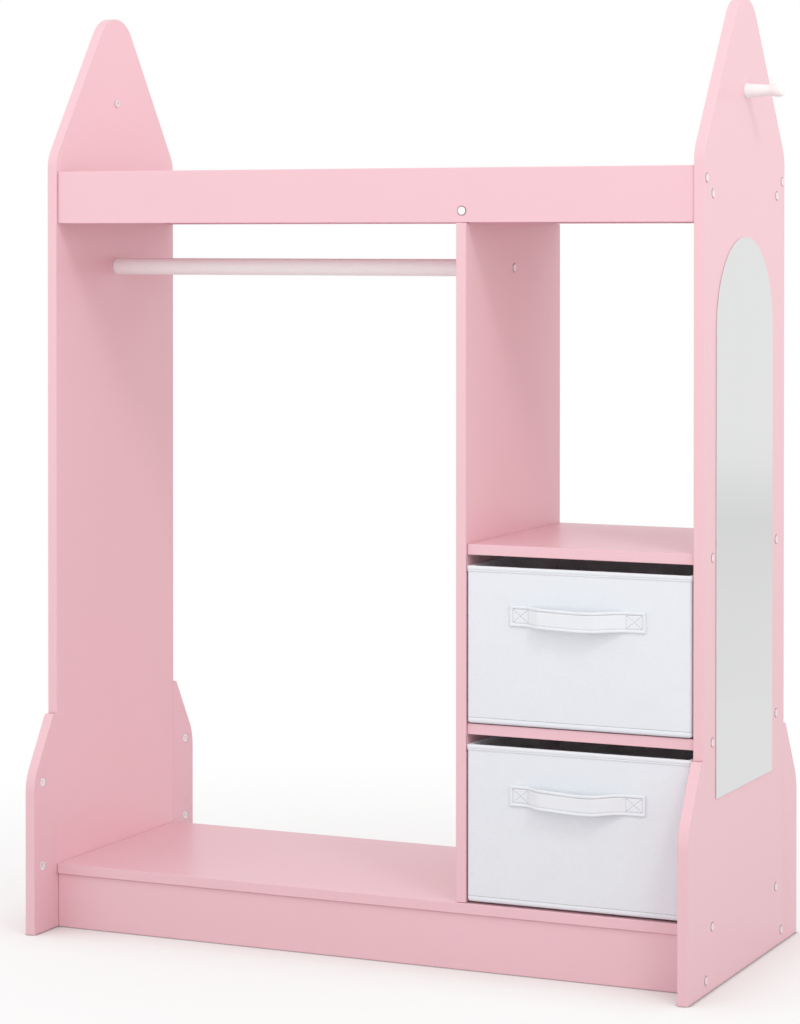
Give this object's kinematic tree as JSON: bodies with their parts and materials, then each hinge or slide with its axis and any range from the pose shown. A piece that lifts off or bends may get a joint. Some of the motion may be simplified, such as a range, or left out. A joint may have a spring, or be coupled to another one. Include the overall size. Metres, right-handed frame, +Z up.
{
  "type": "dress up storage unit with mirror",
  "caption": "Child's dress-up rack: hanging rod, top tray and open cubby between pointed side panels, pull-out fabric bins and an arched side mirror.",
  "frame": {"origin": "on the floor, under the middle of the unit's width and depth", "axes": "+X towards the mirror side (the right-hand side seen from the front), -Y towards the front, +Z up"},
  "size_m": [0.898, 0.394, 1.08],
  "materials": {
    "pink_board": "satin pink lacquer on 12 mm MDF",
    "white_rod": "satin white lacquer",
    "white_plastic": "moulded, semi-gloss",
    "white_caps": "moulded, satin",
    "white_screws": "white enamel",
    "zinc_steel": "zinc plated",
    "beech": "raw, fluted",
    "mirror_sheet": "polished",
    "foam_tape": "matte",
    "white_fabric": "non-woven cloth, matte",
    "white_strap": "folded and stitched non-woven cloth",
    "grey_fabric": "non-woven lining, matte",
    "grey_card": "pressed card",
    "sleeved_card": "pressed card in a cloth sleeve"
  },
  "bodies": {
    "root": {"left_side_panel": "pink_board", "right_side_panel": "pink_board", "left_front_wing": "pink_board", "left_rear_wing": "pink_board", "right_front_wing": "pink_board", "right_rear_wing": "pink_board", "front_top_rail": "pink_board", "rear_top_rail": "pink_board", "top_shelf": "pink_board", "divider": "pink_board", "upper_shelf": "pink_board", "middle_shelf": "pink_board", "base_board": "pink_board", "front_kickboard": "pink_board", "rear_kickboard": "pink_board", "hanging_rod": "white_rod", "left_peg": "white_plastic", "right_peg": "white_plastic", "mirror": "mirror_sheet", "mirror_tape": "foam_tape", "board_screws": "zinc_steel", "screw_caps": "white_caps", "peg_screws": "white_screws", "cam_locks": "white_caps", "cam_bolts": "zinc_steel", "wing_dowels": "beech"},
    "upper_bin": {"upper_bin_cover": "white_fabric", "upper_bin_card_walls": "grey_card", "upper_bin_lining": "grey_fabric", "upper_bin_base_card": "sleeved_card", "upper_bin_binding": "white_fabric", "upper_bin_handle": "white_strap"},
    "lower_bin": {"lower_bin_cover": "white_fabric", "lower_bin_card_walls": "grey_card", "lower_bin_lining": "grey_fabric", "lower_bin_base_card": "sleeved_card", "lower_bin_binding": "white_fabric", "lower_bin_handle": "white_strap"}
  },
  "joints": [
    {"name": "upper_bin_slide", "type": "slide", "parent": "root", "child": "upper_bin", "axis": [0, -1, 0], "range_m": [0, 0.36]},
    {"name": "lower_bin_slide", "type": "slide", "parent": "root", "child": "lower_bin", "axis": [0, -1, 0], "range_m": [0, 0.36]}
  ]
}
